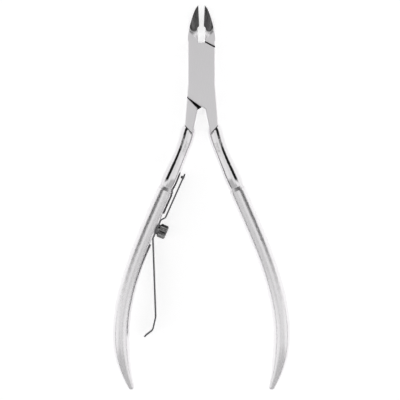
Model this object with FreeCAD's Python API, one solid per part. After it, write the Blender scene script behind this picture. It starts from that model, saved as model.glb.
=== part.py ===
import FreeCAD, Part
import math
import os
from FreeCAD import Vector

# Cuticle nipper with a lap joint, lying on its back: Z = 0 is the back face of the joint,
# +Y runs from the pivot to the cutting tips, and the pivot axis is the Z axis.
# Every length is in millimetres and every angle in degrees.

# Joint
joint_thickness = 6.0       # both levers together, back face to front face
joint_width = 8.14          # across the flat cheeks at the pivot
joint_flare = 1.0           # how much further out each side stands at the end of the shank flat
flare_from = 3.6            # below the pivot, where the sides start to spread
shank_flat_reach = 16.1     # pivot to the outer end of the flat on each shank
shank_end_slope = 1.9       # run of the slope that leads from the flat down to the round shank
lap_gap = 0.04              # between the two half-thick cheeks
edge_break = 0.25           # bevel along the edges of the flat faces
opening_angle = 5.4         # between jaws shut and jaws fully open

# Slots between the levers, measured with the nipper fully open
jaw_slot_reach = 8.9        # pivot to the inner end of the slot under a jaw
jaw_slot_inner = 0.9        # that inner end, off the centre line
jaw_slot_fall = 28.0        # fall of that slot towards the outside
jaw_slot_width = 0.4
jaw_overlap = 1.0           # how far the flat plates run up inside the jaw
stop_reach = 7.4            # pivot to the outer corner where the opening stop meets
stop_gap = 0.22             # left between the stop faces when fully open
cheek_end_fall = 35.5       # fall of the cheek's lower end, outside to inside
shoulder_fall = 46.0        # fall of the shank shoulder that it stops on
crotch_half_width = 1.2     # centre line to the inner side of a shank at the crotch
crotch_reach = 11.1

# Jaws
jaw_reach = 20.4            # pivot to cutting tip
cutting_edge = 6.5          # length of each cutting edge
edge_gap = 0.03             # left between the cutting edges when shut
jaw_side_reach = 12.0       # pivot to where the outer curve of the jaw begins
bevel_reach = 10.0          # pivot to where the ground outer bevel begins
bevel_tip_reach = 15.6      # pivot to where that bevel meets the cutting edge line
belt_height = 0.6           # band of the jaw's outer side left square to the faces
relief_depth = 0.55         # how far the inner side steps back behind the cutting edge
hollow_radius = 4.0         # hollow grinding of the blade faces
hollow_offset = 0.6         # grinding axis past the cutting edge
edge_land = 0.1             # half thickness left at the cutting edge
hollow_reach = 12.4         # pivot to where the hollow starts to run out
hollow_run_out = 3.5        # length over which it climbs to the flat face

# Shanks and grips, one centre line for both levers
shank_start = (3.75, 15.2)  # off the centre line, below the pivot
shank_neck = (4.4, 19.2)
shank_bend = (6.95, 26.2)
step_at = (10.9, 35.5)      # where the grip begins
mid_spread = 19.5           # off the centre line, half way along the grip
bow_spread = 24.15          # off the centre line, at the widest place
tip_spread = 21.2           # off the centre line, at the tip
handle_reach = 94.6         # pivot to the centre of the round tip
bow_share = 0.3046          # widest place to tip, as a share of the grip's reach
shank_share = 0.843         # width of a shank, as a share of the grip's
shank_depth = 5.3
grip_width = 5.1
grip_depth = 5.92
tip_diameter = 2.0
tip_taper = 14.5            # length over which the grip tapers to its tip
collar_length = 1.0         # cone that leads from the shank to the step
collar_neck = 0.35          # width of the groove behind the cone
collar_neck_depth = 0.22

# Pivot rivet
rivet_diameter = 3.0
rivet_head_diameter = 4.4
rivet_head_height = 0.9
running_clearance = 0.03    # radial, where the rivet turns in the back lever

# Leaf spring, clamped on the inner side of the grip of the back lever
spring_thickness = 0.45
spring_width = 3.2
spring_end_width = 2.2
screw_share = 0.196         # step to clamping screw, as a share of the grip's reach
seat_depth = 0.45           # flat sunk into the grip under the spring
seat_margin = 0.45          # height of the spring's arm over the seat's ends, at rest or swung right over
clamp_up = 3.0              # flat foot of the spring, from the screw upwards
clamp_down = 3.1            # and downwards
heel_rise = 1.0             # how far the short arm stands off the foot
heel_length = 18.6          # screw to the end of the short arm
heel_lean = 0.8             # angle between the short arm and the foot
arm_angle = 25.2            # angle between the long arm and the foot
arm_share = 0.4             # long arm, foot to hook, as a share of the grip's reach
crest_turn = 15.0           # first turn of the hook, at the end of the long arm
hook_turn = 40.0            # second turn, back towards the grip
lip_turn = 14.0             # lip at the end, turned up again
hook_lead = 4.0             # between the two turns
hook_length = 2.5
lip_length = 0.9
hinge_bend = 1.0            # bend radius at the foot
hook_bend = 1.8

# Heel peg, riveted into the short arm
peg_from_end = 1.3
peg_diameter = 0.8
peg_head_diameter = 1.2
peg_head_height = 0.35
peg_neck = 0.25
peg_upset = 0.12

# Thumb screw
screw_diameter = 2.0
screw_depth = 3.3           # into the grip
screw_clearance = 0.03      # radial, shank in the tapped hole
spring_hole_clearance = 0.1
head_diameter = 4.2
head_length = 2.6
head_collar_diameter = 3.2
head_collar_length = 0.35
knurl_depth = 0.2
knurl_teeth = 22
head_chamfer = 0.35

half_width = joint_width / 2
middle = joint_thickness / 2
half_opening = math.radians(opening_angle / 2)
shank_width = shank_share * grip_width
grip_reach = handle_reach - step_at[1]
spring_below_step = screw_share * grip_reach
arm_length = arm_share * grip_reach
pivot = Vector(0, 0, middle)
up = Vector(0, 0, 1)


def side_x(reach_below):
    """Distance from the centre line to the outer side of the joint, below the pivot."""
    share = (reach_below - flare_from) / (shank_flat_reach - flare_from)
    return half_width + joint_flare * max(0.0, share)


def slope(angle):
    return math.tan(math.radians(angle))


def inset(points, size):
    """The closed outline moved inwards by size, corners kept sharp (outline anticlockwise)."""
    moved = []
    for i, here in enumerate(points):
        before = (here - points[i - 1]).normalize()
        after = (points[(i + 1) % len(points)] - here).normalize()
        normal_before = Vector(-before.y, before.x, 0)
        normal_after = Vector(-after.y, after.x, 0)
        middle_normal = normal_before + normal_after
        reach = 2 * size / middle_normal.dot(middle_normal)
        moved.append(here + middle_normal * reach)
    return moved


def outline_at(points, z):
    corners = [Vector(p.x, p.y, z) for p in points]
    return Part.makePolygon(corners + [corners[0]])


def bevelled_plate(points, inner_z, face_z):
    """A flat plate from inner_z to face_z with a bevel round its edge at face_z."""
    bevel_z = face_z - math.copysign(edge_break, face_z - inner_z)
    core = Part.Face(outline_at(points, inner_z)).extrude(up * (bevel_z - inner_z))
    rim = Part.makeLoft([outline_at(points, bevel_z), outline_at(inset(points, edge_break), face_z)],
                        True, True)
    return core.fuse(rim)


def edge_x(reach):
    """X of the left cutting edge line, which leans with half of the opening angle."""
    return -reach * math.tan(half_opening) - edge_gap / 2 / math.cos(half_opening)


def jaw_wire(side_reach, tip_reach, z):
    """Left jaw seen from the front: straight cutting line, and an arc tangent to the joint's side."""
    tip = Vector(edge_x(tip_reach), tip_reach, z)
    across = tip.x + half_width
    along = tip_reach - side_reach
    radius = (across ** 2 + along ** 2) / (2 * across)
    centre = Vector(-half_width + radius, side_reach, z)
    to_tip = math.atan2(along, tip.x - centre.x)
    turn = (math.pi + to_tip) / 2
    on_arc = centre + Vector(radius * math.cos(turn), radius * math.sin(turn), 0)
    root = Vector(edge_x(jaw_root_reach), jaw_root_reach, z)
    side_start = Vector(-half_width, side_reach, z)
    side_end = Vector(-half_width, jaw_root_reach, z)
    return Part.Wire([
        Part.LineSegment(root, tip).toShape(),
        Part.Arc(tip, on_arc, side_start).toShape(),
        Part.LineSegment(side_start, side_end).toShape(),
        Part.LineSegment(side_end, root).toShape(),
    ])


def jaw_blank():
    """The left jaw before its faces are hollowed: a square belt with a bevel above and below."""
    belt_low = middle - belt_height / 2
    belt_high = middle + belt_height / 2
    belt = Part.Face(jaw_wire(jaw_side_reach, jaw_reach, belt_low)).extrude(up * belt_height)
    for belt_z, face_z in ((belt_low, 0.0), (belt_high, joint_thickness)):
        bevel = Part.makeLoft([jaw_wire(jaw_side_reach, jaw_reach, belt_z),
                               jaw_wire(bevel_reach, bevel_tip_reach, face_z)], True, True)
        belt = belt.fuse(bevel)
    return belt


def hollow_cutter(side):
    """Grinding form above (+1) or below (-1) the blade: a cylinder that ends in a cone."""
    along = Vector(-math.sin(half_opening), math.cos(half_opening), 0)
    across = Vector(along.y, -along.x, 0)
    rise = edge_land + math.sqrt(hollow_radius ** 2 - hollow_offset ** 2)
    axis_start = pivot + across * (hollow_offset - edge_gap / 2) + up * (side * rise)
    cone_drop = (hollow_radius - (rise - joint_thickness / 2)) / hollow_run_out
    cone_length = hollow_radius / cone_drop
    cylinder = Part.makeCylinder(hollow_radius, jaw_reach, axis_start + along * hollow_reach, along)
    cone = Part.makeCone(0, hollow_radius, cone_length,
                         axis_start + along * (hollow_reach - cone_length), along)
    return cylinder.fuse(cone)


def relief_cutter():
    """Steps the inner side of the jaw back between the cheek and the root of the cutting edge."""
    root_reach = jaw_reach - cutting_edge
    low = Vector(edge_x(jaw_root_reach), jaw_slot_reach, -1)
    high = Vector(edge_x(root_reach), root_reach - relief_depth, -1)
    back = Vector(-relief_depth, 0, 0)
    away = Vector(joint_width, 0, 0)
    block = Part.Face(Part.makePolygon([low + back, low + away, high + away, high + back, low + back]))
    height = up * (joint_thickness + 2)
    rounding = Part.makeCylinder(relief_depth, height.z, high)
    return block.extrude(height).fuse(rounding)


jaw_root_reach = jaw_slot_reach + jaw_slot_width
slot_drop = (half_width - jaw_slot_inner) * slope(jaw_slot_fall)
slot_rise = jaw_slot_width / math.cos(math.radians(jaw_slot_fall))
stop_x = side_x(stop_reach)
cheek_tip_x = -jaw_slot_inner * 0.67
cheek_tip_reach = stop_reach + (stop_x + cheek_tip_x) * slope(cheek_end_fall)
flat_end_slant = 2.6        # how much further down the flat's inner end lies
inner_flare = 0.204         # spread of a shank's inner side per unit of length


def inner_x(reach_below):
    """Distance from the centre line to the inner side of a shank's flat."""
    return crotch_half_width + (reach_below - crotch_reach) * inner_flare


# Flat outlines of one lever, front view: left jaw, cheek and right shank, anticlockwise
jaw_slot_end = Vector(half_width, jaw_slot_reach - slot_drop, 0)
jaw_slot_start = Vector(jaw_slot_inner, jaw_slot_reach, 0)
cheek_corner = Vector(-stop_x, -stop_reach, 0)
cheek_tip = Vector(cheek_tip_x, -cheek_tip_reach, 0)
crotch_side = Vector(crotch_half_width, -crotch_reach, 0)
flat_inner_reach = shank_flat_reach + flat_end_slant
flat_inner_end = Vector(inner_x(flat_inner_reach), -flat_inner_reach, 0)
flat_outer_end = Vector(side_x(shank_flat_reach), -shank_flat_reach, 0)
flare_corner = Vector(half_width, -flare_from, 0)

cheek_outline = [
    Vector(-half_width, jaw_root_reach + jaw_overlap, 0),
    Vector(-half_width, -flare_from, 0),
    cheek_corner,
    cheek_tip,
    crotch_side,
    flat_inner_end,
    flat_outer_end,
    flare_corner,
    jaw_slot_end,
    jaw_slot_start,
    Vector(-jaw_slot_inner, jaw_slot_reach, 0),
    Vector(edge_x(jaw_root_reach) - relief_depth, jaw_root_reach + jaw_overlap, 0),
]
shoulder_outer = Vector(stop_x, -stop_reach - stop_gap, 0)
shoulder_run = stop_x - crotch_half_width
shoulder_inner = Vector(crotch_half_width, shoulder_outer.y - shoulder_run * slope(shoulder_fall), 0)
shank_outline = [shoulder_outer, shoulder_inner, flat_inner_end, flat_outer_end]
jaw_root_outline = [
    Vector(-half_width, jaw_root_reach + jaw_overlap, 0),
    Vector(-half_width, jaw_slot_end.y + slot_rise, 0),
    Vector(-jaw_slot_inner, jaw_slot_reach + slot_rise, 0),
    Vector(edge_x(jaw_root_reach) - relief_depth, jaw_root_reach + jaw_overlap, 0),
]


def lap_pocket():
    """What the other lever's cheek takes out of this lever's back half."""
    far = 3 * joint_width
    slot_y = jaw_slot_reach + slot_rise
    pocket = [
        Vector(-far, slot_y - (far - jaw_slot_inner) * slope(jaw_slot_fall), 0),
        Vector(-jaw_slot_inner, slot_y, 0),
        Vector(far, slot_y, 0),
        Vector(far, shoulder_outer.y + (far - stop_x) * slope(shoulder_fall), 0),
        shoulder_inner,
        Vector(-far, shoulder_inner.y, 0),
    ]
    height = middle + lap_gap / 2 + 1
    return Part.Face(outline_at(pocket, -1)).extrude(up * height)


# Shank and grip centre line, right handle, from inside the joint to the centre of the round tip
bow_reach = handle_reach - bow_share * grip_reach
mid_reach = (step_at[1] + bow_reach) / 2
handle_points = [shank_start, shank_neck, shank_bend, step_at,
                 (mid_spread, mid_reach), (bow_spread, bow_reach), (tip_spread, handle_reach)]
handle_line = Part.BSplineCurve()
handle_line.interpolate([Vector(x, -y, middle) for x, y in handle_points])
handle_length = handle_line.length()
step_place = handle_line.length(handle_line.FirstParameter,
                                handle_line.parameter(Vector(step_at[0], -step_at[1], middle)))


def station(place):
    """Point, direction and outward normal of the handle line at a length along it."""
    parameter = handle_line.parameterAtDistance(place, handle_line.FirstParameter)
    along = Vector(handle_line.tangent(parameter)[0]).normalize()
    return handle_line.value(parameter), along, Vector(-along.y, along.x, 0)


def section(place, width, depth):
    """Elliptical section square to the handle line, width across it and depth in Z."""
    centre, along, outward = station(place)
    circle = Part.Circle(Vector(), Vector(0, 0, 1), 1).toBSpline().toShape()
    across = outward * (width / 2)
    rise = up * (depth / 2)
    to_place = FreeCAD.Matrix(across.x, rise.x, along.x, centre.x,
                              across.y, rise.y, along.y, centre.y,
                              across.z, rise.z, along.z, centre.z,
                              0, 0, 0, 1)
    return Part.Wire(circle.transformGeometry(to_place).Edges)


def grip_share(from_tip):
    """How full the grip is at a distance from its tip: a quarter sine over the taper."""
    return math.sin(math.pi / 2 * min(1.0, max(0.0, from_tip) / tip_taper))


def grip_section(place):
    full = grip_share(handle_length - place)
    return section(place, tip_diameter + (grip_width - tip_diameter) * full,
                   tip_diameter + (grip_depth - tip_diameter) * full)


def handle():
    """Right shank, collar, groove and grip, with a round tip."""
    collar_start = step_place - collar_length
    groove_end = step_place + collar_neck
    neck_width = grip_width - 2 * collar_neck_depth
    neck_depth = grip_depth - 2 * collar_neck_depth
    shank_places = [collar_start * share for share in (0.0, 0.02, 0.06, 0.14, 0.3, 0.6, 1.0)]
    shank_fill = [0.3, 0.62, 0.86, 1.0, 1.0, 1.0, 1.0]
    shank = Part.makeLoft([section(place, shank_width * fill, shank_depth * fill)
                           for place, fill in zip(shank_places, shank_fill)], True, False)
    collar = Part.makeLoft([section(collar_start, shank_width, shank_depth),
                            section(step_place, grip_width, grip_depth)], True, True)
    groove = Part.makeLoft([section(step_place, neck_width, neck_depth),
                            section(groove_end, neck_width, neck_depth)], True, True)
    taper_start = handle_length - tip_taper
    grip_places = [groove_end + (taper_start - groove_end) * share for share in (0.0, 0.2, 0.45, 0.7)]
    grip_places += [taper_start + tip_taper * share for share in (0.0, 0.25, 0.5, 0.75, 1.0)]
    grip = Part.makeLoft([grip_section(place) for place in grip_places], True, False)
    tip = Part.makeSphere(tip_diameter / 2, station(handle_length)[0])
    return shank.fuse([collar, groove, grip, tip])


def shank_flat_end():
    """Ground end of the shank flat: sloped faces that lead from each flat down to the round shank."""
    back_reach = shank_flat_reach - shank_end_slope
    back_inner = Vector(inner_x(back_reach), -back_reach, 0)
    back_outer = Vector(side_x(back_reach), -back_reach, 0)
    lead = station(0)[1] * shank_end_slope
    upper = [back_inner, flat_inner_end, flat_outer_end, back_outer]
    waist = [back_inner, flat_inner_end + lead, flat_outer_end + lead, back_outer]
    low = edge_break
    high = joint_thickness - edge_break
    slopes = [Part.makeLoft([outline_at(inset(upper, edge_break), face),
                             outline_at(inset(waist, edge_break), middle)], True, True)
              for face in (low, high)]
    return slopes[0].fuse(slopes[1])


def lever():
    """One lever seen from the front, before its holes: left jaw, front cheek, right handle."""
    front = bevelled_plate(cheek_outline, middle + lap_gap / 2, joint_thickness)
    shank_root = bevelled_plate(shank_outline, middle + lap_gap, 0.0)
    jaw_root = bevelled_plate(jaw_root_outline, middle + lap_gap, 0.0)
    body = front.fuse([shank_root, jaw_root, jaw_blank(), shank_flat_end(), handle()])
    body = body.cut(lap_pocket())
    body = body.cut(relief_cutter())
    for side in (1, -1):
        body = body.cut(hollow_cutter(side))
    return body.removeSplitter()


def rivet(clearance):
    """Flush rivet: a shank with a cone at each end; clearance opens it into the hole around it."""
    radius = rivet_diameter / 2 + clearance
    head = rivet_head_diameter / 2 + clearance
    shank = Part.makeCylinder(radius, joint_thickness)
    back = Part.makeCone(head, radius, rivet_head_height)
    front = Part.makeCone(radius, head, rivet_head_height,
                          Vector(0, 0, joint_thickness - rivet_head_height))
    return shank.fuse([back, front])


# The clamping screw's place on the grip of the back lever, which is the left one
turn_over = FreeCAD.Placement(Vector(), FreeCAD.Rotation(Vector(0, 1, 0), 180), pivot)
seat_centre_line, seat_along, seat_outward = station(step_place + spring_below_step)
seat_height = grip_width / 2 - seat_depth
seat_point = turn_over.multVec(seat_centre_line - seat_outward * seat_height)
down_grip = turn_over.Rotation.multVec(seat_along)
off_grip = turn_over.Rotation.multVec(seat_outward) * -1


def on_seat(down, off, rise=0.0):
    """Point from distances down the grip, off the seat, and in Z from the middle plane."""
    return seat_point + down_grip * down + off_grip * off + up * rise


def rounded_path(corners, radii):
    """Straight runs through the corners, with a tangent arc of the given radius at each inner one."""
    edges = []
    start = corners[0]
    for before, here, after, radius in zip(corners, corners[1:], corners[2:], radii):
        into = (here - before).normalize()
        away = (after - here).normalize()
        turn = into.getAngle(away)
        reach = radius * math.tan(turn / 2)
        arc_start = here - into * reach
        arc_end = here + away * reach
        to_centre = (away - into).normalize()
        arc_middle = here + to_centre * (radius / math.cos(turn / 2) - radius)
        edges.append(Part.LineSegment(start, arc_start).toShape())
        edges.append(Part.Arc(arc_start, arc_middle, arc_end).toShape())
        start = arc_end
    edges.append(Part.LineSegment(start, corners[-1]).toShape())
    return Part.Wire(edges)


def polar(angle, length):
    """Step along the strip: down the grip and off it, for an angle off the seat."""
    return (length * math.cos(math.radians(angle)), length * math.sin(math.radians(angle)))


half_strip = spring_thickness / 2
heel_foot = clamp_up + heel_rise * 1.1
heel_run = polar(heel_lean, heel_length - heel_foot)
heel_start = (-heel_foot, half_strip + heel_rise)
heel_end = (-heel_foot - heel_run[0], heel_start[1] + heel_run[1])
arm_run = polar(arm_angle, arm_length)
arm_end = (clamp_down + arm_run[0], half_strip + arm_run[1])
hook_angle = arm_angle - crest_turn - hook_turn
crest_run = polar(arm_angle - crest_turn, hook_lead)
crest = (arm_end[0] + crest_run[0], arm_end[1] + crest_run[1])
hook_run = polar(hook_angle, hook_length)
hook_end = (crest[0] + hook_run[0], crest[1] + hook_run[1])
lip_run = polar(hook_angle + lip_turn, lip_length)
lip_end = (hook_end[0] + lip_run[0], hook_end[1] + lip_run[1])
strip_corners = [heel_end, heel_start, (-clamp_up, half_strip), (clamp_down, half_strip),
                 arm_end, crest, hook_end, lip_end]
strip_bends = [hinge_bend, hinge_bend, hinge_bend, 2 * hook_bend, hook_bend, hook_bend / 3]


def spring_plan():
    """The strip as cut, seen from off the grip: widest at the screw, with round narrower ends."""
    end_radius = spring_end_width / 2
    up_end = heel_end[0] + end_radius
    down_end = lip_end[0] - end_radius
    near = max(clamp_up, clamp_down)
    half = spring_width / 2
    pieces = []
    for far, far_round in ((up_end, -1), (down_end, 1)):
        corners = [on_seat(far_round * near, -1, half), on_seat(far, -1, end_radius),
                   on_seat(far, -1, -end_radius), on_seat(far_round * near, -1, -half)]
        blade = Part.Face(Part.makePolygon(corners + [corners[0]])).extrude(off_grip * joint_width * 3)
        end = Part.makeCylinder(end_radius, joint_width * 3, on_seat(far, -1), off_grip)
        pieces += [blade, end]
    corners = [on_seat(-near, -1, half), on_seat(near, -1, half),
               on_seat(near, -1, -half), on_seat(-near, -1, -half)]
    foot = Part.Face(Part.makePolygon(corners + [corners[0]])).extrude(off_grip * joint_width * 3)
    return foot.fuse(pieces)


def leaf_spring():
    path = rounded_path([on_seat(down, off) for down, off in strip_corners], strip_bends)
    start = on_seat(*heel_end)
    along = (on_seat(*heel_start) - start).normalize()
    across = Vector(-along.y, along.x, 0) * half_strip
    rise = up * (spring_width / 2)
    corners = [start + across + rise, start - across + rise, start - across - rise, start + across - rise]
    profile = Part.makePolygon(corners + [corners[0]])
    strip = path.makePipeShell([profile], True, True)
    strip = strip.common(spring_plan())
    hole = Part.makeCylinder(screw_diameter / 2 + spring_hole_clearance, 3, on_seat(0, -1), off_grip)
    strip = strip.cut(hole)
    return strip.cut(Part.makeCylinder(peg_diameter / 2, 4, peg_axis_point - peg_direction * 2, peg_direction))


heel_direction = (on_seat(*heel_end) - on_seat(*heel_start)).normalize()
peg_axis_point = on_seat(*heel_end) - heel_direction * peg_from_end
peg_direction = Vector(-heel_direction.y, heel_direction.x, 0)
if peg_direction.dot(off_grip) > 0:
    peg_direction = peg_direction * -1


def heel_peg():
    """Rivet through the short arm: upset end, shank, neck and a domed head towards the shank."""
    back = peg_axis_point - peg_direction * half_strip
    front = peg_axis_point + peg_direction * half_strip
    shank = Part.makeCylinder(peg_diameter / 2, spring_thickness + peg_neck, back, peg_direction)
    upset = Part.makeCone(peg_diameter / 2, peg_head_diameter / 2, peg_upset,
                          back - peg_direction * peg_upset, peg_direction)
    head_start = front + peg_direction * peg_neck
    head = Part.makeCylinder(peg_head_diameter / 2, peg_head_height, head_start, peg_direction)
    dome = Part.makeSphere(peg_head_diameter / 2,
                           head_start + peg_direction * (peg_head_height - peg_head_diameter / 2))
    return shank.fuse([upset, head.common(dome)])


def thumb_screw():
    """Knurled head standing on a short collar, with the shank that holds the spring to the grip."""
    top = spring_thickness
    shank = Part.makeCylinder(screw_diameter / 2, screw_depth + top, on_seat(0, -screw_depth), off_grip)
    collar = Part.makeCylinder(head_collar_diameter / 2, head_collar_length, on_seat(0, top), off_grip)
    base = on_seat(0, top + head_collar_length)
    corners = []
    for step in range(2 * knurl_teeth):
        angle = math.pi * step / knurl_teeth
        radius = head_diameter / 2 - knurl_depth * (step % 2)
        corners.append(base + down_grip * (radius * math.cos(angle)) + up * (radius * math.sin(angle)))
    knurl = Part.Face(Part.makePolygon(corners + [corners[0]])).extrude(off_grip * head_length)
    rim = head_diameter / 2 - head_chamfer
    straight = head_length - 2 * head_chamfer
    form = Part.makeCone(rim, head_diameter / 2, head_chamfer, base, off_grip)
    form = form.fuse([
        Part.makeCylinder(head_diameter / 2, straight, base + off_grip * head_chamfer, off_grip),
        Part.makeCone(head_diameter / 2, rim, head_chamfer, base + off_grip * (head_length - head_chamfer),
                      off_grip)])
    return shank.fuse([collar, knurl.common(form)])


def seat_cutter():
    """The flat sunk into the grip under the spring's foot, and the tapped hole in it."""
    end = clamp_down + (seat_depth + seat_margin) / slope(arm_angle)
    corners = [on_seat(-end, 0, -joint_thickness), on_seat(end, 0, -joint_thickness),
               on_seat(end, 0, joint_thickness), on_seat(-end, 0, joint_thickness)]
    flat = Part.Face(Part.makePolygon(corners + [corners[0]])).extrude(off_grip * grip_width)
    hole = Part.makeCylinder(screw_diameter / 2 + screw_clearance, screw_depth + screw_clearance + 1,
                             on_seat(0, -screw_depth - screw_clearance), off_grip)
    return flat.fuse(hole)


blank = lever()
front_lever = blank.cut(rivet(0.0))
rear_lever = blank.copy()
rear_lever.Placement = turn_over
rear_lever = rear_lever.cut(rivet(running_clearance)).cut(seat_cutter())

nodes = {
    "front_lever": front_lever,
    "rear_lever": rear_lever,
    "pivot_rivet": rivet(0.0),
    "leaf_spring": leaf_spring(),
    "heel_peg": heel_peg(),
    "thumb_screw": thumb_screw(),
}

os.makedirs("parts", exist_ok=True)
for name, shape in nodes.items():
    shape.exportStep("parts/" + name + ".step")
    print(name, len(shape.Solids), round(shape.Volume, 2), shape.isValid())
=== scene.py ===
"""Looks of the cuticle nipper, built round its packed construction. Lengths are in metres."""

import math

import bmesh
import bpy
import numpy as np
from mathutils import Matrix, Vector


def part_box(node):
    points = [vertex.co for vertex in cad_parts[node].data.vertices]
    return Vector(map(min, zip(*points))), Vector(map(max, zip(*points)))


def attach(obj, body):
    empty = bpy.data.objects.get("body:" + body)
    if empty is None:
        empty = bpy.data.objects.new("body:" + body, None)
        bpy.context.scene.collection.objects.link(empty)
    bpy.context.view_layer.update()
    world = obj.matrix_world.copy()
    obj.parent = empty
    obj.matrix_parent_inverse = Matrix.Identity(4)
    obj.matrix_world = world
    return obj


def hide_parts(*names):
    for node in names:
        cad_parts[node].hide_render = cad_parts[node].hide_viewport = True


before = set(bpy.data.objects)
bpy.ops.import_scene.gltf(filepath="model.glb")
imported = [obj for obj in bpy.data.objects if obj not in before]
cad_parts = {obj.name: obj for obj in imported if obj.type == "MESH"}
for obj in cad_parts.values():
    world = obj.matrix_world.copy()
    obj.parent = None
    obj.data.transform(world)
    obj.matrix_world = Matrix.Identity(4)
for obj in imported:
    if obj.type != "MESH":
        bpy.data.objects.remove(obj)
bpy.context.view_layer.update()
MM = 0.001

# Places read from the frame
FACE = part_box("pivot_rivet")[1].z      # front face of the joint; its back face is at zero
MIDDLE = FACE / 2

# Places on the levers, measured from the pivot
HOLLOW_FOOT = 12.4 * MM                # where the hollow grinding of the blades starts to run out
BLADE_ROOT = 8.8 * MM                  # lower end of that run-out on the joint's face
FLATS_END = -25 * MM                   # no flat face lies below this
BEVELS_END = -16.3 * MM                # lower end of the small bevels round the joint's flats
POCKET_END = -15.6 * MM                # lower end of the lap between the levers
SLOT_LOW = -11.5 * MM                  # the slots between the levers lie between these two
SLOT_HIGH = 9.6 * MM
SLOT_INNER = 1.2 * MM                  # inner end of the slots, off the centre line
STEP_REACH = 35.5 * MM                 # ring between shank and grip
STEP_SPREAD = 10.9 * MM                # that ring, off the centre line
STEP_LEAN = math.radians(23.3)         # lean of the handle there
COLLAR_ABOVE = 1.35 * MM               # the cone and the ring reach this far above and below the step
COLLAR_BELOW = 0.05 * MM

# Rounded lower end of the painted dark reflection in a blade's hollow
FOOT_REACH = 12.3 * MM                 # pivot to its lowest place
FOOT_CENTRE = 2.3 * MM                 # that place, off the centre line
FOOT_HALF = 0.95 * MM                  # half its width
FOOT_LIFT = 0.7 * MM                   # how far the line climbs over that half width
FOOT_SOFT = 0.25 * MM                  # width of the change from dark to bright

# Merging and smoothing of the construction's triangles
WELD = 1e-7
SHORTEST_EDGE = 1e-8
SHARP_ANGLE = math.radians(24)


# ---------------------------------------------------------------- materials

def new_material(name):
    """Empty node material: its tree, its Principled shader and its Object coordinates."""
    material = bpy.data.materials.new(name)
    material.use_nodes = True
    tree = material.node_tree
    place = tree.nodes.new("ShaderNodeTexCoord")
    return material, tree, tree.nodes["Principled BSDF"], place.outputs["Object"]


def math_node(tree, operation, first, second=None, third=None, clamp=False):
    """Result of a Math node whose inputs are numbers or other nodes' outputs."""
    node = tree.nodes.new("ShaderNodeMath")
    node.operation = operation
    node.use_clamp = clamp
    for socket, value in zip(node.inputs, (first, second, third)):
        if isinstance(value, (int, float)):
            socket.default_value = value
        elif value is not None:
            tree.links.new(value, socket)
    return node.outputs[0]


def ramp(tree, factor, stops):
    """Colour ramp of greys through (position, value) stops."""
    node = tree.nodes.new("ShaderNodeValToRGB")
    elements = node.color_ramp.elements
    while len(elements) < len(stops):
        elements.new(0.5)
    for element, (position, value) in zip(elements, stops):
        element.position = position
        element.color = (value, value, value, 1)
    tree.links.new(factor, node.inputs["Fac"])
    return node.outputs["Color"]


def towards_grey(tree, colour, share, grey):
    """The colour, turned to a grey by a share."""
    node = tree.nodes.new("ShaderNodeMix")
    node.data_type = "RGBA"
    node.inputs[7].default_value = (grey, grey, grey, 1)
    tree.links.new(share, node.inputs[0])
    tree.links.new(colour, node.inputs[6])
    return node.outputs[2]


def tinted(tree, colour, tint):
    """The colour multiplied by a tint."""
    node = tree.nodes.new("ShaderNodeMix")
    node.data_type = "RGBA"
    node.blend_type = "MULTIPLY"
    node.inputs[0].default_value = 1.0
    node.inputs[7].default_value = (*tint, 1)
    tree.links.new(colour, node.inputs[6])
    return node.outputs[2]


def noise(tree, place, scale, stretch):
    """Noise stretched along an axis, such as the marks of a polishing wheel or a grinding belt."""
    mapping = tree.nodes.new("ShaderNodeMapping")
    mapping.inputs["Scale"].default_value = stretch
    tree.links.new(place, mapping.inputs["Vector"])
    texture = tree.nodes.new("ShaderNodeTexNoise")
    texture.inputs["Scale"].default_value = scale
    texture.inputs["Detail"].default_value = 3.0
    tree.links.new(mapping.outputs["Vector"], texture.inputs["Vector"])
    return texture.outputs["Fac"]


def bump(tree, shader, height, strength, distance):
    """Fine relief on a shader from a height."""
    node = tree.nodes.new("ShaderNodeBump")
    node.inputs["Strength"].default_value = strength
    node.inputs["Distance"].default_value = distance
    tree.links.new(height, node.inputs["Height"])
    tree.links.new(node.outputs["Normal"], shader.inputs["Normal"])


def metal(name, tint, stops, scale, stretch, rough, depth=0.0, strength=0.0):
    """Bare metal: greys from a stretched noise, roughness that follows it, and its fine marks as bump."""
    material, tree, shader, place = new_material(name)
    shader.inputs["Metallic"].default_value = 1.0
    marks = noise(tree, place, scale, stretch)
    tree.links.new(tinted(tree, ramp(tree, marks, stops), tint), shader.inputs["Base Color"])
    tree.links.new(ramp(tree, marks, [(0.3, rough[0]), (0.7, rough[1])]), shader.inputs["Roughness"])
    if depth:
        bump(tree, shader, marks, strength, depth)
    return material


def round_hollow_foot(material):
    """Brighten the painted dark reflection on a blade below its hollow, whose lower end is rounded.

    The line between them is y = reach + lift * ((|x| - centre) / half)^2.
    """
    tree = material.node_tree
    base = tree.nodes["Principled BSDF"].inputs["Base Color"]
    dark = base.links[0].from_socket
    split = tree.nodes.new("ShaderNodeSeparateXYZ")
    tree.links.new(tree.nodes.new("ShaderNodeTexCoord").outputs["Object"], split.inputs[0])
    aside = math_node(tree, "ABSOLUTE", split.outputs["X"])
    off = math_node(tree, "MULTIPLY_ADD", aside, 1 / FOOT_HALF, -FOOT_CENTRE / FOOT_HALF)
    bow = math_node(tree, "MULTIPLY", off, off)
    line = math_node(tree, "MULTIPLY_ADD", bow, FOOT_LIFT, FOOT_REACH)
    below = math_node(tree, "SUBTRACT", line, split.outputs["Y"])
    share = math_node(tree, "MULTIPLY_ADD", below, 1 / FOOT_SOFT, 0.5, clamp=True)
    tree.links.new(towards_grey(tree, dark, share, 0.95), base)


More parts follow.
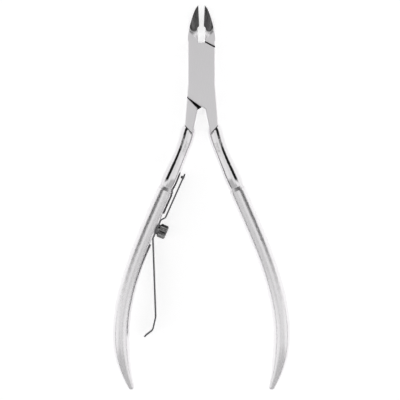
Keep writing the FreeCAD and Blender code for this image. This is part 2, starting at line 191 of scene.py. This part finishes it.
STEEL = (1.0, 0.985, 1.0)
SPRING_TINT = (0.96, 0.96, 1.0)
NICKEL = (1.0, 1.0, 1.0)
# Painted light, partly: the grips' base colour is set brighter than the shank's mirror steel to stand in
# for the brighter light on the grips; the grips' rougher grain is their finish.
mirror_steel = metal("mirror_steel", STEEL, [(0.3, 0.80), (0.7, 0.86)], 60, (6, 1, 6),
                     rough=(0.05, 0.09))
grip_steel = metal("grip_steel", STEEL, [(0.3, 0.90), (0.7, 0.96)], 220, (12, 1, 12),
                   rough=(0.24, 0.30), depth=1e-6, strength=0.1)
satin_steel = metal("satin_steel", STEEL, [(0.25, 0.84), (0.75, 0.92)], 900, (10, 0.5, 10),
                    rough=(0.34, 0.44), depth=3e-6, strength=0.5)
# Painted dark reflection: the blades' hollows get a near-black steel colour for the dark they reflect,
# brightened below the hollow's rounded foot.
blade_dark_reflection = metal("blade_dark_reflection", STEEL, [(0.25, 0.08), (0.75, 0.26)], 500, (14, 1, 14),
                    rough=(0.22, 0.34), depth=3e-6, strength=0.4)
round_hollow_foot(blade_dark_reflection)
shadow_steel = metal("shadow_steel", STEEL, [(0.3, 0.010), (0.7, 0.025)], 500, (4, 4, 4),
                     rough=(0.35, 0.5))
ground_steel = metal("ground_steel", STEEL, [(0.3, 0.93), (0.7, 0.98)], 500, (10, 1, 10),
                     rough=(0.30, 0.40))
spring_steel = metal("spring_steel", SPRING_TINT, [(0.3, 0.10), (0.7, 0.19)], 700, (3, 1, 8),
                     rough=(0.25, 0.4), depth=2e-6, strength=0.3)
screw_nickel = metal("screw_nickel", NICKEL, [(0.3, 0.20), (0.7, 0.42)], 900, (2, 2, 2),
                     rough=(0.16, 0.3), depth=2e-6, strength=0.3)
LEVER_FINISHES_AND_SHADE = (mirror_steel, grip_steel, satin_steel, blade_dark_reflection, shadow_steel, ground_steel)


# ---------------------------------------------------------------- pieces

def merged_copy(node, name):
    """A welded, smooth-shaded copy of a construction node, sharp only at its real edges."""
    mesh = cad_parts[node].data.copy()
    mesh.name = name
    mesh.materials.clear()
    form = bmesh.new()
    form.from_mesh(mesh)
    bmesh.ops.remove_doubles(form, verts=form.verts, dist=WELD)
    bmesh.ops.dissolve_degenerate(form, edges=form.edges, dist=SHORTEST_EDGE)
    for edge in form.edges:
        edge.smooth = edge.calc_face_angle(math.pi) < SHARP_ANGLE
    for face in form.faces:
        face.smooth = True
    form.to_mesh(mesh)
    form.free()
    if "sharp_face" in mesh.attributes:
        mesh.attributes.remove(mesh.attributes["sharp_face"])
    piece = bpy.data.objects.new(name, mesh)
    bpy.context.scene.collection.objects.link(piece)
    return piece


def face_arrays(mesh):
    """Centres and normals of a mesh's faces, as arrays."""
    centres = np.empty(len(mesh.polygons) * 3)
    normals = np.empty(len(mesh.polygons) * 3)
    mesh.polygons.foreach_get("center", centres)
    mesh.polygons.foreach_get("normal", normals)
    return centres.reshape(-1, 3), normals.reshape(-1, 3)


def finish_and_shade_numbers(mesh):
    """Which lever finish each face has, from where it lies and which way it looks; the blade hollows get
    a painted dark reflection, the lap and the slot walls painted shadow.
    """
    centres, normals = face_arrays(mesh)
    x, y, z = centres.T
    rise = np.abs(normals[:, 2])
    off_middle = np.abs(z - MIDDLE) / MIDDLE
    above_root = y > BLADE_ROOT

    flat = (rise > 0.999) & (off_middle > 0.98) & (y > FLATS_END)
    ground = above_root & (rise < 0.9995) & (off_middle < 0.98)
    ground &= np.sign(z - MIDDLE) == np.sign(normals[:, 2])
    inward = normals[:, 0] * np.where(x < 0, 1, -1)
    hollow = ground & (y > HOLLOW_FOOT) & (inward > 0)
    lap = (off_middle < 0.9) & ~above_root & (y > POCKET_END) & (rise > 0.99)
    slot_wall = (rise < 0.3) & (np.abs(normals[:, 1]) > 0.45)
    slot_wall &= (y > SLOT_LOW) & (y < SLOT_HIGH) & (np.abs(x) > SLOT_INNER)
    edge_bevel = (rise > 0.5) & (rise < 0.9) & (off_middle > 0.9) & (y > BEVELS_END) & ~above_root

    across = (np.abs(x) - STEP_SPREAD) * math.sin(STEP_LEAN)
    below_step = across - (y + STEP_REACH) * math.cos(STEP_LEAN)
    collar = (below_step > -COLLAR_ABOVE) & (below_step < COLLAR_BELOW)

    number = {material: place for place, material in enumerate(LEVER_FINISHES_AND_SHADE)}
    finish = np.full(len(x), number[mirror_steel], np.int32)
    finish[below_step > 0] = number[grip_steel]
    finish[collar | flat] = number[satin_steel]
    finish[ground | edge_bevel] = number[ground_steel]
    # painted dark reflection in the blade hollows, painted shadow in the lap and on the slot walls
    finish[hollow] = number[blade_dark_reflection]
    finish[lap | slot_wall] = number[shadow_steel]
    return finish


def finish_piece(node, name, body, materials):
    """Finished piece in place of a construction node, on its body; a lever has several finishes and
    painted shade.
    """
    piece = merged_copy(node, name)
    mesh = piece.data
    for material in materials:
        mesh.materials.append(material)
    several = len(materials) > 1
    numbers = finish_and_shade_numbers(mesh) if several else np.zeros(len(mesh.polygons), np.int32)
    mesh.polygons.foreach_set("material_index", numbers)
    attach(piece, body)
    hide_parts(node)


finish_piece("front_lever", "front_lever_finish", "front_lever_body", LEVER_FINISHES_AND_SHADE)
finish_piece("rear_lever", "rear_lever_finish", "rear_lever_body", LEVER_FINISHES_AND_SHADE)
finish_piece("pivot_rivet", "pivot_rivet_finish", "front_lever_body", (satin_steel,))
finish_piece("leaf_spring", "leaf_spring_finish", "spring_body", (spring_steel,))
finish_piece("heel_peg", "heel_peg_finish", "spring_body", (spring_steel,))
finish_piece("thumb_screw", "thumb_screw_finish", "screw_body", (screw_nickel,))


# ---------------------------------------------------------------- studio

FLOOR_REACH = 1.5
FLOOR_LEVEL = -0.02 * MM
FLOOR_GREY = (0.85, 0.85, 0.85, 1)
FLOOR_SHINE = 0.62                     # added where the sheet is seen, so that it looks white
CAMERA_AIM = (-0.45 * MM, -38.3 * MM)
FRAME_SIDE = 120.56 * MM               # seen by the camera at the middle of the joint's thickness
LENS = 100.0
SENSOR = 36.0


def make_floor():
    """White sheet that the nipper lies on."""
    mesh = bpy.data.meshes.new("floor")
    corners = [(-FLOOR_REACH, -FLOOR_REACH, FLOOR_LEVEL), (FLOOR_REACH, -FLOOR_REACH, FLOOR_LEVEL),
               (FLOOR_REACH, FLOOR_REACH, FLOOR_LEVEL), (-FLOOR_REACH, FLOOR_REACH, FLOOR_LEVEL)]
    mesh.from_pydata(corners, [], [(0, 1, 2, 3)])
    floor = bpy.data.objects.new("floor", mesh)
    bpy.context.scene.collection.objects.link(floor)
    material, tree, shader, _ = new_material("floor_white")
    shader.inputs["Base Color"].default_value = FLOOR_GREY
    shader.inputs["Roughness"].default_value = 0.9
    shader.inputs["Specular IOR Level"].default_value = 0.0
    path = tree.nodes.new("ShaderNodeLightPath").outputs
    seen = math_node(tree, "MAXIMUM", path["Is Camera Ray"], path["Is Glossy Ray"])
    seen = math_node(tree, "MAXIMUM", seen, path["Is Transmission Ray"])
    tree.links.new(math_node(tree, "MULTIPLY", seen, FLOOR_SHINE), shader.inputs["Emission Strength"])
    shader.inputs["Emission Color"].default_value = (1, 1, 1, 1)
    mesh.materials.append(material)


def level_share(tree, split):
    """Compass bearing as 0 on the side of the grips (-Y), 0.5 at the sides and 1 at the jaws (+Y)."""
    squared = math_node(tree, "MULTIPLY", split.outputs["Z"], split.outputs["Z"])
    level = math_node(tree, "SQRT", math_node(tree, "SUBTRACT", 1.0001, squared))
    bearing = math_node(tree, "DIVIDE", split.outputs["Y"], level)
    return math_node(tree, "MULTIPLY_ADD", bearing, 0.5, 0.5)


def make_world():
    """White light tent: grey towards the grips, with a dark opening high up behind the jaws."""
    world = bpy.data.worlds.new("light_tent")
    bpy.context.scene.world = world
    world.use_nodes = True
    tree = world.node_tree
    background = tree.nodes["Background"]
    split = tree.nodes.new("ShaderNodeSeparateXYZ")
    tree.links.new(tree.nodes.new("ShaderNodeTexCoord").outputs["Generated"], split.inputs[0])
    height = split.outputs["Z"]
    level = level_share(tree, split)

    tent = ramp(tree, height, [(0.0, 0.95), (0.30, 0.93), (0.75, 0.93), (0.97, 0.84)])
    below_top = ramp(tree, height, [(0.93, 1.0), (0.995, 0.0)])
    grip_side = ramp(tree, level, [(0.29, 1.0), (0.34, 0.0)])
    low = ramp(tree, height, [(0.05, 1.0), (0.15, 0.0)])
    near_half = ramp(tree, level, [(0.50, 1.0), (0.54, 0.0)])
    opening = ramp(tree, height, [(0.26, 0.0), (0.36, 1.0), (0.88, 1.0), (0.94, 0.0)])
    jaw_side = ramp(tree, level, [(0.56, 0.0), (0.67, 1.0)])

    colour = towards_grey(tree, tent, math_node(tree, "MULTIPLY", below_top, grip_side), 0.52)
    colour = towards_grey(tree, colour, math_node(tree, "MULTIPLY", low, near_half), 0.06)
    colour = towards_grey(tree, colour, math_node(tree, "MULTIPLY", opening, jaw_side), 0.015)
    tree.links.new(colour, background.inputs["Color"])
    background.inputs["Strength"].default_value = 1.0


def make_camera():
    """Straight down on the front face, with the whole nipper in the frame."""
    data = bpy.data.cameras.new("camera")
    data.lens = LENS
    data.sensor_width = SENSOR
    data.clip_start = 0.01
    camera = bpy.data.objects.new("camera", data)
    camera.location = (*CAMERA_AIM, MIDDLE + FRAME_SIDE * LENS / SENSOR)
    bpy.context.scene.collection.objects.link(camera)
    bpy.context.scene.camera = camera


make_floor()
make_world()
make_camera()
bpy.context.scene.view_settings.view_transform = "Standard"
